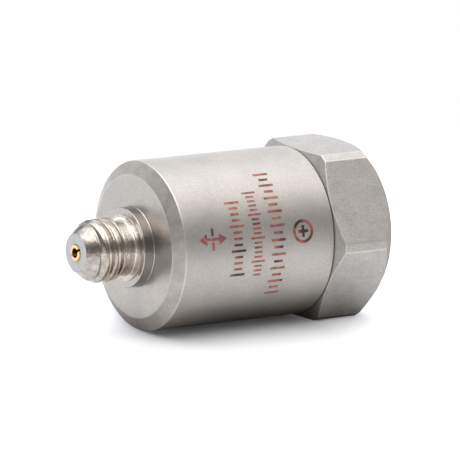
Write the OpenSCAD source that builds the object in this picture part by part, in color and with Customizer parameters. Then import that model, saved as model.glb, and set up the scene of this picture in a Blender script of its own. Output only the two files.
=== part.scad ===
// Piezoelectric accelerometer: hexagonal base, welded housing, threaded coaxial socket.
// Each piece is drawn standing on its mounting face, at its height above that face,
// and lay() then turns it on its side, with a hex flat down and the socket towards -X.

/* [Hex base] */
// Width across the flats
hex_af = 13; // [12:0.5:16]
// What is turned off each corner of the hexagon, measured on the radius
hex_corner_cut = 0.2; // [0.1:0.05:0.4]
// Height of the hexagon
hex_h = 5.5; // [5:0.5:9]
// Angle of the front bevel to the front plane
front_bevel_angle = 30; // [15:5:45]
// Width of the 45 degree rear bevel at the middle of a flat
rear_bevel = 0.4; // [0.2:0.1:0.8]
// Height of the spigot that locates the housing
spigot_h = 1.5; // [1:0.25:2.5]
// Diameter of the mounting hole before tapping
mount_hole_d = 4.2; // [3.3:0.1:5]
// Depth of the mounting hole's round wall below the mounting face
mount_hole_depth = 4.6; // [3:0.1:4.8]
// Depth of the mounting hole's 45 degree countersink
mount_csk = 0.4; // [0.2:0.1:0.8]

/* [Housing] */
// Outer diameter of the housing
body_d = 13; // [12.5:0.25:15]
// Length of the housing above the hexagon
body_h = 14.05; // [13.55:0.25:20.05]
// Thickness of the housing's round wall
body_wall = 0.6; // [0.4:0.1:0.8]
// Thickness of the housing's end wall
end_wall = 1; // [0.7:0.1:1.5]
// Width of the rim bevel, measured on the radius
rim_bevel_w = 1.03; // [0.4:0.05:1.2]
// Height of the rim bevel
rim_bevel_h = 0.6; // [0.3:0.05:0.8]
// Edge break on both sides of the joint between housing and hexagon
joint_bevel = 0.1; // [0.05:0.05:0.2]

/* [Sensing element] */
// Distance from the axis to each of the post's three sides
post_flat = 1.5; // [1.2:0.1:1.6]
// Radius that the post's corners are turned to
post_corner_r = 2.7; // [2.4:0.1:2.9]
// Clear height below the seismic masses and above them, to the post's end
mass_lift = 0.5; // [0.3:0.1:0.8]
// Thickness of a crystal plate
plate_t = 0.6; // [0.4:0.1:0.7]
// Width of a crystal plate
plate_w = 3.4; // [2.6:0.1:3.6]
// Height of a crystal plate
plate_h = 3.8; // [3:0.2:4]
// Clearance between the preload ring and the insulating sleeve
ring_clear = 0.46; // [0.3:0.02:0.8]
// Height of a seismic mass
mass_h = 4.2; // [4:0.2:5]
// Gap between two seismic masses
mass_gap = 0.5; // [0.3:0.1:0.8]
// Thickness of the preload ring
ring_wall = 0.4; // [0.3:0.05:0.45]
// Height of the preload ring
ring_h = 3.4; // [2.8:0.2:4]

/* [Electronics] */
// Wall of the insulating sleeve
sleeve_wall = 0.5; // [0.4:0.05:0.55]
// Width of the sleeve's ledge under the circuit board
ledge_w = 0.3; // [0.2:0.05:0.35]
// Height of the sleeve's ledge
ledge_h = 0.5; // [0.3:0.1:0.8]
// How far the sleeve's rim stands above the circuit board
sleeve_rim = 0.4; // [0.2:0.1:0.8]
// Clear height from the post to the circuit board
board_gap = 1.2; // [1.1:0.1:1.6]
// Thickness of the circuit board
board_t = 0.8; // [0.6:0.1:1]
// Length of the amplifier chip's body
chip_l = 2.9; // [2:0.1:3.2]
// Width of the amplifier chip's body
chip_w = 1.6; // [1.2:0.1:1.8]
// Height of the amplifier chip above the board
chip_h = 1.1; // [0.8:0.05:1.2]
// Length of a resistor
resistor_l = 1.6; // [1.2:0.1:1.8]
// Width of a resistor
resistor_w = 0.8; // [0.5:0.1:1]
// Height of a resistor
resistor_h = 0.45; // [0.3:0.05:0.6]
// Length of a capacitor
capacitor_l = 2; // [1.6:0.1:2.2]
// Width of a capacitor
capacitor_w = 1.25; // [0.8:0.05:1.4]
// Height of a capacitor
capacitor_h = 1.1; // [0.8:0.05:1.2]
// Length of the metal end cap of a resistor or capacitor
end_cap = 0.3; // [0.2:0.05:0.45]
// Diameter of the signal and output leads
lead_d = 0.3; // [0.2:0.05:0.35]
// Inner bend radius of a lead
lead_bend = 0.3; // [0.15:0.05:0.35]
// How far the signal lead steps in from the preload ring towards the axis
signal_step = 1.1; // [1:0.1:1.4]
// Distance of the output lead's hole in the board from the axis
output_hole_at = 1.7; // [1.5:0.1:2.2]
// Diameter of the ground pin
ground_pin_d = 0.5; // [0.3:0.1:0.6]
// How deep the ground pin sits in the post
ground_pin_seat = 0.8; // [0.5:0.1:1.2]
// How far a lead stands out of the board's far side
lead_out = 0.3; // [0.2:0.05:0.5]
// Distance of the amplifier chip from the axis
chip_at = 2.3; // [1.8:0.1:2.6]
// Distance of the row of resistors, and of the capacitors' row, from the axis
part_row = 2.6; // [2.4:0.1:3]
// Distance of the resistors from the board's middle line
resistor_at = 1.4; // [1.2:0.1:1.8]
// Distance of the capacitors from the board's middle line
capacitor_at = 1.6; // [1.4:0.1:2]

/* [Socket] */
// Diameter of the flange
flange_d = 6.14; // [5.8:0.1:7]
// Thickness of the flange
flange_h = 0.93; // [0.6:0.05:1.2]
// Edge break of the flange
flange_edge = 0.07; // [0.03:0.01:0.15]
// Fillet between the flange and the neck
neck_fillet = 0.35; // [0.1:0.05:0.5]
// Diameter of the neck
neck_d = 4.2; // [3.8:0.1:4.4]
// Length of the neck, from the flange to the thread
neck_h = 1.22; // [0.8:0.1:1.6]
// Outer diameter of the thread
thread_d = 4.86; // [4.6:0.02:5]
// Length of the thread
thread_h = 1.65; // [1.4:0.05:3]
// Length of the tapered nose
nose_h = 1.3; // [0.8:0.05:1.6]
// How strongly the nose bulges, as the share of a quarter turn that its outline takes
nose_turn = 0.18; // [0.1:0.02:0.6]
// Width of the metal lip round the insulator
lip_w = 0.04; // [0.03:0.01:0.15]
// Diameter of the insulator
insulator_d = 2.88; // [2.6:0.04:3]
// Diameter of the bore for the glass seal
glass_bore_d = 2.3; // [1.8:0.1:2.4]
// Diameter of the socket's tail in the housing's end wall
tail_d = 3.8; // [3.4:0.1:4.4]
// How far the tail reaches past the end wall
tail_out = 0.6; // [0.3:0.1:1]
// How far the glass seal stays inside the tail
glass_inset = 0.2; // [0.1:0.05:0.3]
// Height of the insulator's foot above the flange
insulator_seat = 0.3; // [0.1:0.1:0.6]
// Thickness of the insulator's foot, below the contact
insulator_foot = 0.5; // [0.3:0.1:0.8]
// Outer diameter of the contact
contact_d = 1.24; // [1.1:0.02:1.4]
// How far the contact stands out of the insulator
contact_out = 0.12; // [0.05:0.01:0.4]
// Edge break of the contact
contact_edge = 0.06; // [0.02:0.01:0.1]
// Diameter of the contact's bore
contact_bore_d = 0.72; // [0.6:0.02:0.9]
// Depth of the contact's bore
contact_bore_depth = 2.2; // [1.6:0.1:2.4]
// Width of the slit across the contact
slit_w = 0.2; // [0.1:0.02:0.3]
// Depth of the slit
slit_depth = 1.6; // [1:0.1:2]
// Direction of the slit, seen along the axis
slit_angle = 123; // [0:1:180]
// Diameter of the feedthrough pin
pin_d = 0.34; // [0.26:0.02:0.38]
// How deep the feedthrough pin sits in the contact
pin_seat = 0.9; // [0.5:0.1:1]
// How far the feedthrough pin stands out of the glass
pin_tail = 0.9; // [0.5:0.1:1.5]

/* [Fits] */
// Radial clearance of round pieces that sit in one another
seat_gap = 0.02; // [0.01:0.01:0.04]

/* [Hidden] */
$fn = 96;
// overlap of shapes that are joined or cut, so that no faces coincide
lap = 0.5;
sides = 3;

// radii
body_r = body_d/2;
body_in_r = body_r - body_wall;
corner_r = hex_af/2/cos(30) - hex_corner_cut;
face_r = hex_af/2 - rear_bevel;
joint_r = body_r - joint_bevel;
flange_r = flange_d/2;
neck_r = neck_d/2;
thread_r = thread_d/2;
insulator_r = insulator_d/2;
lip_r = insulator_r + lip_w;
tail_r = tail_d/2;
contact_r = contact_d/2;
plate_at = post_flat + plate_t;
sleeve_r = body_in_r - seat_gap;
sleeve_in_r = sleeve_r - sleeve_wall;
ring_r = sleeve_in_r - ring_clear;
ring_in_r = ring_r - ring_wall;
mass_r = ring_in_r - seat_gap;
board_r = sleeve_in_r - seat_gap;

// distance of the signal lead's two ends from the axis
signal_from = (ring_in_r + ring_r)/2;
signal_hole_at = signal_from - signal_step;

// heights above the mounting face
spigot_top = hex_h + spigot_h;
mass_z = spigot_top + mass_lift;
plate_z = mass_z + (mass_h - plate_h)/2;
ring_z = mass_z + (mass_h - ring_h)/2;
post_top = mass_z + mass_h + mass_lift;
board_z = post_top + board_gap;
board_top = board_z + board_t;
body_top = hex_h + body_h;
body_in_top = body_top - end_wall;
tail_z = body_in_top - tail_out;
flange_top = body_top + flange_h;
thread_z = flange_top + neck_h;
nose_z = thread_z + thread_h;
nose_top = nose_z + nose_h;
glass_z = tail_z + glass_inset;
insulator_z = flange_top + insulator_seat;
contact_z = insulator_z + insulator_foot;
contact_top = nose_top + contact_out;
pin_z = glass_z - pin_tail;
pin_top = contact_z + pin_seat;

// Turns what stands on the mounting face on its side.
module lay() rotate([0, -90, 0]) children();

// Points of an arc about a centre, from one angle to another.
function arc(centre, radius, from, to, steps = 8) =
    [for (i = [0:steps]) centre + radius*[cos(from + (to - from)*i/steps), sin(from + (to - from)*i/steps)]];

// Points of a bulging outline from a to b, which turns by the given angle on its way.
function bulge(a, b, turn, steps = 8) =
    let (
        chord = b - a,
        half = turn/2,
        radius = norm(chord)/2/sin(half),
        along = atan2(chord[1], chord[0]),
        centre = a + radius*[cos(along + 90 - half), sin(along + 90 - half)]
    )
    arc(centre, radius, along - 90 - half, along - 90 + half, steps);

// A ring of rectangular section.
module ring(outer_r, inner_r, height) {
    difference() {
        cylinder(r = outer_r, h = height);
        translate([0, 0, -lap]) cylinder(r = inner_r, h = height + 2*lap);
    }
}

// What drills a through hole in the board, at a distance along Y.
module board_hole(wire_d, at) {
    translate([0, at, -lap]) cylinder(r = wire_d/2 + seat_gap, h = board_t + 2*lap);
}

// The bevelled hexagon: a hexagonal bar inside a turned outline.
module hexagon() {
    front_drop = (corner_r - joint_r)*tan(front_bevel_angle);
    intersection() {
        cylinder(r = hex_af/2/cos(30), h = hex_h, $fn = 6);
        rotate_extrude() polygon([[0, 0], [face_r, 0], [corner_r, corner_r - face_r],
            [corner_r, hex_h - front_drop], [joint_r, hex_h], [0, hex_h]]);
    }
}

// Blind hole from below: countersink, round wall for the thread, drill point.
module mounting_hole() {
    hole_r = mount_hole_d/2;
    point_h = hole_r*tan(31);
    translate([0, 0, -lap]) cylinder(r = hole_r, h = mount_hole_depth + lap);
    translate([0, 0, -lap]) cylinder(r1 = hole_r + mount_csk + lap, r2 = hole_r, h = mount_csk + lap);
    translate([0, 0, mount_hole_depth]) cylinder(r1 = hole_r, r2 = 0, h = point_h);
}

// The three-sided post, its corners turned round.
module sensing_post(from_z) {
    translate([0, 0, from_z]) linear_extrude(post_top - from_z) intersection() {
        rotate(180) circle(r = 2*post_flat, $fn = sides);
        circle(r = post_corner_r);
    }
}

module hex_base() {
    spigot_r = body_in_r - seat_gap;
    color([0.66, 0.65, 0.63]) lay() difference() {
        union() {
            rotate(30) hexagon();
            translate([0, 0, hex_h - lap]) cylinder(r = spigot_r, h = spigot_h + lap);
            sensing_post(spigot_top - lap);
        }
        mounting_hole();
        translate([0, 0, post_top - ground_pin_seat])
            cylinder(r = ground_pin_d/2 + seat_gap, h = ground_pin_seat + lap);
    }
}

// Turned cup: open at the hexagon, bevelled at the rim, with a hole for the socket's tail.
module housing_shell() {
    tail_hole_r = tail_r + seat_gap;
    inner_break = body_wall/2;
    color([0.7, 0.69, 0.67]) lay() rotate_extrude() polygon([
        [body_in_r, hex_h], [joint_r, hex_h], [body_r, hex_h + joint_bevel],
        [body_r, body_top - rim_bevel_h], [body_r - rim_bevel_w, body_top],
        [tail_hole_r, body_top], [tail_hole_r, body_in_top],
        [body_in_r - inner_break, body_in_top], [body_in_r, body_in_top - inner_break]]);
}

// One crystal plate, face to face with its side of the post.
module crystal_plate(place) {
    color([0.86, 0.82, 0.7]) lay() rotate(place*360/sides)
        translate([post_flat, -plate_w/2, plate_z]) cube([plate_t, plate_w, plate_h]);
}
module crystal_plate_1() crystal_plate(0);
module crystal_plate_2() crystal_plate(1);
module crystal_plate_3() crystal_plate(2);

// One seismic mass: flat towards its plate, round outside, clear of its neighbours.
module seismic_mass(place) {
    half_turn = 180/sides;
    apex = mass_gap/2/sin(half_turn);
    reach = 2*mass_r;
    color([0.45, 0.45, 0.47]) lay() rotate(place*360/sides) translate([0, 0, mass_z])
        linear_extrude(mass_h) intersection() {
            circle(r = mass_r);
            translate([plate_at, -mass_r]) square([mass_r, 2*mass_r]);
            polygon([[apex, 0], [apex + reach, -reach*tan(half_turn)],
                [apex + reach, reach*tan(half_turn)]]);
        }
}
module seismic_mass_1() seismic_mass(0);
module seismic_mass_2() seismic_mass(1);
module seismic_mass_3() seismic_mass(2);

module preload_ring() {
    color([0.6, 0.6, 0.62]) lay() translate([0, 0, ring_z]) ring(ring_r, ring_in_r, ring_h);
}

// Sleeve standing on the spigot, with a ledge that carries the circuit board.
module insulating_sleeve() {
    color([0.9, 0.86, 0.76]) lay() rotate_extrude() polygon([
        [sleeve_in_r, spigot_top], [sleeve_r, spigot_top],
        [sleeve_r, board_top + sleeve_rim], [sleeve_in_r, board_top + sleeve_rim],
        [sleeve_in_r, board_z], [sleeve_in_r - ledge_w, board_z],
        [sleeve_in_r - ledge_w, board_z - ledge_h], [sleeve_in_r, board_z - ledge_h - ledge_w]]);
}

// Round board with a hole for each wire that passes through.
module circuit_board() {
    color([0.1, 0.36, 0.2]) lay() translate([0, 0, board_z]) difference() {
        cylinder(r = board_r, h = board_t);
        board_hole(ground_pin_d, 0);
        board_hole(lead_d, signal_hole_at);
        board_hole(lead_d, -output_hole_at);
    }
}

// Chip on four feet, two on each side of its moulded body.
module amplifier_chip() {
    foot = [0.4, 0.4, 0.15];
    color([0.12, 0.12, 0.13]) lay() translate([chip_at, 0, board_top]) {
        translate([-chip_w/2, -chip_l/2, foot[2]/2]) cube([chip_w, chip_l, chip_h - foot[2]/2]);
        for (side = [-1, 1], along = [-1, 1])
            translate([side*(chip_w + foot[0])/2, along*(chip_l/2 - foot[1]), foot[2]/2])
                cube(foot + [foot[0], 0, 0], center = true);
    }
}

// Chip resistor or capacitor standing on the board: body between two slightly larger end caps.
module chip_part(length, width, height) {
    skin = 0.02;
    translate([-length/2, -width/2 + skin, skin]) cube([length, width - 2*skin, height - 2*skin]);
    for (end = [-1, 1])
        translate([end*(length - end_cap)/2, 0, height/2]) cube([end_cap, width, height], center = true);
}
module resistor(side) {
    color([0.16, 0.16, 0.17]) lay() translate([resistor_at, side*part_row, board_top])
        chip_part(resistor_l, resistor_w, resistor_h);
}
module bias_resistor() resistor(1);
module gain_resistor() resistor(-1);
module capacitor(side) {
    color([0.62, 0.5, 0.36]) lay() translate([-part_row, side*capacitor_at, board_top]) rotate(90)
        chip_part(capacitor_l, capacitor_w, capacitor_h);
}
module input_capacitor() capacitor(1);
module output_capacitor() capacitor(-1);

// Round wire that rises, turns aside, runs level and rises again.
module stepped_wire(d, rise, run, total) {
    turn = lead_bend + d/2;
    last = total - rise - 2*turn;
    cylinder(d = d, h = rise);
    translate([turn, 0, rise]) mirror([1, 0, 0]) rotate([90, 0, 0])
        rotate_extrude(angle = 90) translate([turn, 0]) circle(d = d);
    translate([turn, 0, rise + turn]) rotate([0, 90, 0]) cylinder(d = d, h = run - 2*turn);
    translate([run - turn, 0, rise + 2*turn]) mirror([0, 0, 1]) rotate([90, 0, 0])
        rotate_extrude(angle = 90) translate([turn, 0]) circle(d = d);
    translate([run, 0, rise + 2*turn]) cylinder(d = d, h = last);
}

// From the top of the preload ring, in towards the axis and up through the board.
module signal_lead() {
    start_z = ring_z + ring_h;
    color([0.8, 0.5, 0.3]) lay() translate([0, signal_from, start_z]) rotate(-90)
        stepped_wire(lead_d, lead_bend, signal_step, board_top + lead_out - start_z);
}

// Straight pin from its seat in the post through the board.
module ground_lead() {
    start_z = post_top - ground_pin_seat;
    color([0.8, 0.7, 0.4]) lay() translate([0, 0, start_z])
        cylinder(d = ground_pin_d, h = board_top + lead_out - start_z);
}

// From the far side of the board to the axis, and up to the end of the feedthrough pin.
module output_lead() {
    start_z = board_z - lead_out;
    turn_z = (board_top + lead_out + pin_z)/2 - start_z;
    color([0.8, 0.5, 0.3]) lay() translate([0, -output_hole_at, start_z]) rotate(90)
        stepped_wire(lead_d, turn_z - lead_bend, output_hole_at, pin_z - start_z);
}

// Turned socket body: tail, flange, neck, thread (drawn at its outer diameter) and tapered nose.
module connector_shell() {
    lead_in = thread_r - neck_r;
    color([0.76, 0.74, 0.7]) lay() rotate_extrude() polygon(concat(
        [[glass_bore_d/2, tail_z], [tail_r, tail_z], [tail_r, body_top],
            [flange_r - flange_edge, body_top], [flange_r, body_top + flange_edge],
            [flange_r, flange_top - flange_edge], [flange_r - flange_edge, flange_top]],
        arc([neck_r + neck_fillet, flange_top + neck_fillet], neck_fillet, 270, 180),
        [[neck_r, thread_z - lead_in], [thread_r, thread_z]],
        bulge([thread_r, nose_z], [lip_r, nose_top], 90*nose_turn),
        [[insulator_r, nose_top], [insulator_r, insulator_z], [glass_bore_d/2, insulator_z]]));
}

// Core of the socket, bored for the contact, with a smaller hole for the pin in its foot.
module connector_insulator() {
    color([0.74, 0.77, 0.79]) lay() rotate_extrude() polygon([
        [insulator_r - seat_gap, insulator_z], [insulator_r - seat_gap, nose_top],
        [contact_r + seat_gap, nose_top], [contact_r + seat_gap, contact_z],
        [pin_d/2 + seat_gap, contact_z], [pin_d/2 + seat_gap, insulator_z]]);
}

// Slotted contact: bored in front for the plug's pin and behind for the feedthrough pin.
module contact_socket() {
    color([0.86, 0.66, 0.32]) lay() difference() {
        rotate_extrude() polygon([
            [0, contact_z], [contact_r, contact_z], [contact_r, contact_top - contact_edge],
            [contact_r - contact_edge, contact_top], [0, contact_top]]);
        translate([0, 0, contact_top - contact_bore_depth])
            cylinder(d = contact_bore_d, h = contact_bore_depth + lap);
        translate([0, 0, contact_z - lap]) cylinder(r = pin_d/2 + seat_gap, h = pin_seat + lap);
        rotate(slit_angle) translate([-contact_d, -slit_w/2, contact_top - slit_depth])
            cube([2*contact_d, slit_w, slit_depth + lap]);
    }
}

module feedthrough_pin() {
    color([0.84, 0.68, 0.38]) lay() translate([0, 0, pin_z]) cylinder(d = pin_d, h = pin_top - pin_z);
}

module glass_seal() {
    color([0.35, 0.42, 0.4]) lay() translate([0, 0, glass_z])
        ring(glass_bore_d/2 - seat_gap, pin_d/2 + seat_gap, insulator_z - glass_z);
}

hex_base();
housing_shell();
connector_shell();
connector_insulator();
contact_socket();
feedthrough_pin();
glass_seal();
crystal_plate_1();
crystal_plate_2();
crystal_plate_3();
seismic_mass_1();
seismic_mass_2();
seismic_mass_3();
preload_ring();
insulating_sleeve();
circuit_board();
amplifier_chip();
bias_resistor();
gain_resistor();
input_capacitor();
output_capacitor();
signal_lead();
ground_lead();
output_lead();
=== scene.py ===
import math
from functools import partial
import bmesh
import bpy
from mathutils import Matrix, Vector


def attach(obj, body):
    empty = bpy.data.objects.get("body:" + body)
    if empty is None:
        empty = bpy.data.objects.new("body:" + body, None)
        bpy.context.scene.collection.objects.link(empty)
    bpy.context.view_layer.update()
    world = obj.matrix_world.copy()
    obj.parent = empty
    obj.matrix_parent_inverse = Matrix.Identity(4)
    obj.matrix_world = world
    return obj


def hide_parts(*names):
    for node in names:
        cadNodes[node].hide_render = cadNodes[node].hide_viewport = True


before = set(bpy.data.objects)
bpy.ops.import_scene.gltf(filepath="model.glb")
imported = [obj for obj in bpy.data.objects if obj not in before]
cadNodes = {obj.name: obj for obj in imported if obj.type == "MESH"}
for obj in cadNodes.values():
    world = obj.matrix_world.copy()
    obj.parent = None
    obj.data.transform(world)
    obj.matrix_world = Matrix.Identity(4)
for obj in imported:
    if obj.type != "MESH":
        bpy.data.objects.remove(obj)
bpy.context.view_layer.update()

scene = bpy.context.scene
mm = 0.001
scene.view_settings.view_transform = "Standard"


def linearColour(hexCode):  # sRGB hex to the linear values that a shader takes
    values = [int(hexCode[i:i + 2], 16) / 255 for i in (1, 3, 5)]
    return [v / 12.92 if v <= 0.04045 else ((v + 0.055) / 1.055) ** 2.4 for v in values] + [1.0]


def metres(lengths, sign=1):  # from mm; heights above the mounting face run towards -X, so they take sign -1
    return [sign * length * mm for length in lengths]


def fillInputs(node, inputs):  # inputs hold values, or sockets to link from
    for key, value in inputs.items():
        if isinstance(value, bpy.types.NodeSocket):
            node.id_data.links.new(value, node.inputs[key])
        else:
            node.inputs[key].default_value = value


def addNode(tree, kind, *values, inputs=None, output=0, **settings):
    # values fill the first inputs, inputs names others; gives the output asked for, or all of them for None
    node = tree.nodes.new(kind)
    for key, value in settings.items():
        setattr(node, key, value)
    fillInputs(node, {**dict(enumerate(values)), **(inputs or {})})
    return node.outputs if output is None else node.outputs[output]


# short names for the kinds of node and the settings used most
mathNode, vectorNode = "ShaderNodeMath", "ShaderNodeVectorMath"
splitNode, joinNode = "ShaderNodeSeparateXYZ", "ShaderNodeCombineXYZ"
rampNode = "ShaderNodeMapRange"  # value, from and to of what comes in, from and to of what goes out
mixNode = "ShaderNodeMix"  # numbers go in at 2 and 3, colours at 6 and 7
noiseNode = "ShaderNodeTexNoise"
plus, minus, times, over = ({"operation": name} for name in ("ADD", "SUBTRACT", "MULTIPLY", "DIVIDE"))
smooth = {"interpolation_type": "SMOOTHSTEP"}
ofColour = {"data_type": "RGBA", "output": 2}

# camera: a long lens, at the angle and distance worked out from the round edges in the photograph
cameraFit = {
    "azimuth": -33.5726, "elevation": 13.1301, "roll": 2.302,  # degrees
    "aimX": -18.95,  # on the axis, at the housing's rim, mm
    "distance": 492.98, "toTheRight": 6.8281, "above": 1.1976,  # mm from the aim, in the camera's own axes
    "focalPixels": 6499.73, "framePixels": 460, "sensor": 36, "clip": (0.02, 20),
}


def placeCamera(fit):
    azimuth, elevation, roll = (math.radians(fit[k]) for k in ("azimuth", "elevation", "roll"))
    back = Vector((math.sin(azimuth) * math.cos(elevation), -math.cos(azimuth) * math.cos(elevation),
                   math.sin(elevation)))
    level = Vector((math.cos(azimuth), math.sin(azimuth), 0))
    upright = back.cross(level)
    right = level * math.cos(roll) + upright * math.sin(roll)
    up = upright * math.cos(roll) - level * math.sin(roll)
    data = bpy.data.cameras.new("camera")
    data.sensor_width = fit["sensor"]
    data.lens = fit["focalPixels"] / fit["framePixels"] * fit["sensor"]
    data.clip_start, data.clip_end = fit["clip"]
    camera = bpy.data.objects.new("camera", data)
    scene.collection.objects.link(camera)
    aim = Vector((fit["aimX"], 0, 0))
    place = aim + right * fit["toTheRight"] + up * fit["above"] + back * fit["distance"]
    rows = [[right[i], up[i], back[i], place[i] * mm] for i in range(3)]
    camera.matrix_world = Matrix(rows + [[0, 0, 0, 1]])
    scene.camera = camera


placeCamera(cameraFit)
print("camera placed")


# outlines are lists of (height above the mounting face, distance from the axis, edge radius), in mm

def softOutline(corners, closed=True, steps=4, hairline=0.02, cutShare=0.45, support=0.05, supportShare=0.04):
    # rounds each corner by its radius, or by a hairline where none is given, and sets a support row on each
    # side of it, so that smooth shading stays flat between; an edge with a radius is polished by handling,
    # fully or by the share that its fourth value gives
    points = []
    count = len(corners)
    for i, corner in enumerate(corners):
        here = Vector(corner[:2])
        if not closed and i in (0, count - 1):
            points.append(tuple(here))
            continue
        radius, polished = ((*corner[2:], 1.0) if len(corner) > 2 else (hairline, 0.0))[:2]
        sides = [Vector(corners[j % count][:2]) - here for j in (i - 1, i + 1)]
        rooms = [side.length for side in sides]
        for side in sides:
            side.normalize()
        halfAngle = sides[0].angle(sides[1]) / 2
        cut = min(radius / math.tan(halfAngle), *(cutShare * room for room in rooms))
        radius = cut * math.tan(halfAngle)
        centre = here + (sides[0] + sides[1]).normalized() * (radius / math.sin(halfAngle))
        ends = [here + side * cut for side in sides]
        first, last = (tuple(end + side * min(support, supportShare * room))
                       for end, side, room in zip(ends, sides, rooms))
        fromAngle, toAngle = (math.atan2(end.y - centre.y, end.x - centre.x) for end in ends)
        turn = (toAngle - fromAngle + math.pi) % (2 * math.pi) - math.pi
        angles = [fromAngle + turn * step / steps for step in range(steps + 1)]
        rounded = [(centre.x + radius * math.cos(angle), centre.y + radius * math.sin(angle), polished)
                   for angle in angles]
        points += [first, *rounded, last]
    return points


def splitLong(points, fromHeight, toHeight, step):  # adds rows along an outline, where a thread is cut
    result = []
    for a, b in zip(points, points[1:] + points[:1]):
        result.append(a)
        low, high = sorted((a[0], b[0]))
        if high > fromHeight and low < toHeight and high - low > step:
            parts = math.ceil((high - low) / step)
            result += [tuple(a[k] + (b[k] - a[k]) * i / parts for k in (0, 1)) for i in range(1, parts)]
    return result


def bulgingLine(start, end, turnDegrees, steps):  # an arc's points from start to end, turning by that much
    chord = Vector(end) - Vector(start)
    half = math.radians(turnDegrees) / 2
    radius = chord.length / 2 / math.sin(half)
    along = math.atan2(chord.y, chord.x)
    towards = along - math.pi / 2 + half
    centre = Vector(start) + radius * Vector((math.cos(towards), math.sin(towards)))
    angles = [along + math.pi / 2 + half - 2 * half * i / steps for i in range(steps + 1)]
    return [tuple(centre + radius * Vector((math.cos(angle), math.sin(angle)))) for angle in angles]


def newPiece(name, vertices=(), faces=()):  # a mesh with its faces outwards, and its object
    mesh = bpy.data.meshes.new(name)
    mesh.from_pydata(vertices, [], faces)
    mesh.validate()
    shape = bmesh.new()
    shape.from_mesh(mesh)
    bmesh.ops.recalc_face_normals(shape, faces=shape.faces)
    shape.to_mesh(mesh)
    shape.free()
    piece = bpy.data.objects.new(name, mesh)
    scene.collection.objects.link(piece)
    return piece


def onPart(height, radius, angle):  # a place on the part, in metres
    return -height * mm, radius * math.cos(angle) * mm, radius * math.sin(angle) * mm


def loftMesh(name, rows, angles, closedRows=True):
    # a row is one (height, radius, polish) for all angles, or a list of one for each; radius 0 makes a pole
    vertices, faces, rings, worn = [], [], [], []
    for row in rows:
        spread = row if isinstance(row, list) else [row] * len(angles)
        if max(point[1] for point in spread) == 0:
            spread = spread[:1]
        rings.append(range(len(vertices), len(vertices) + len(spread)))
        for (height, radius, *polish), angle in zip(spread, angles):
            vertices.append(onPart(height, radius, angle))
            worn.append(polish[0] if polish else 0.0)
    for here, there in zip(rings, rings[1:] + (rings[:1] if closedRows else [])):
        for i in range(len(angles)):
            j = (i + 1) % len(angles)
            if len(here) == 1:
                faces.append((here[0], there[i], there[j]))
            elif len(there) == 1:
                faces.append((here[i], there[0], here[j]))
            else:
                faces.append((here[i], there[i], there[j], here[j]))
    piece = newPiece(name, vertices, faces)
    piece.data.attributes.new("wornEdge", "FLOAT", "POINT").data.foreach_set("value", worn)
    piece.data.shade_smooth()
    return piece


def roundAngles(count):
    return [2 * math.pi * i / count for i in range(count)]


def applyModifier(piece, kind, inputs=None, **settings):
    modifier = piece.modifiers.new(kind, kind)
    for key, value in settings.items():
        setattr(modifier, key, value)
    if inputs:  # a tree's inputs go by their sockets' identifiers, before the first evaluation
        for item in modifier.node_group.interface.items_tree:
            if item.name in inputs:
                modifier[item.identifier] = inputs[item.name]
    bpy.context.view_layer.update()
    mesh = bpy.data.meshes.new_from_object(piece.evaluated_get(bpy.context.evaluated_depsgraph_get()))
    piece.modifiers.clear()
    old, piece.data = piece.data, mesh
    bpy.data.meshes.remove(old)
    mesh.name = piece.name


def newTree(name, **sockets):  # geometry goes in and out, and the other inputs are listed by their kind
    tree = bpy.data.node_groups.new(name, "GeometryNodeTree")
    for way in ("INPUT", "OUTPUT"):
        tree.interface.new_socket("Geometry", in_out=way, socket_type="NodeSocketGeometry")
    for kind, names in sockets.items():
        for inputName in names:
            tree.interface.new_socket(inputName, in_out="INPUT", socket_type="NodeSocket" + kind)
    add = partial(addNode, tree)
    return tree, add, add("NodeGroupInput", output=None)


def endTree(tree, add, geometry, material):
    whole = add("GeometryNodeRealizeInstances", geometry)
    add("NodeGroupOutput", add("GeometryNodeSetMaterial", whole, inputs={"Material": material}), output=None)
    return tree


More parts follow.
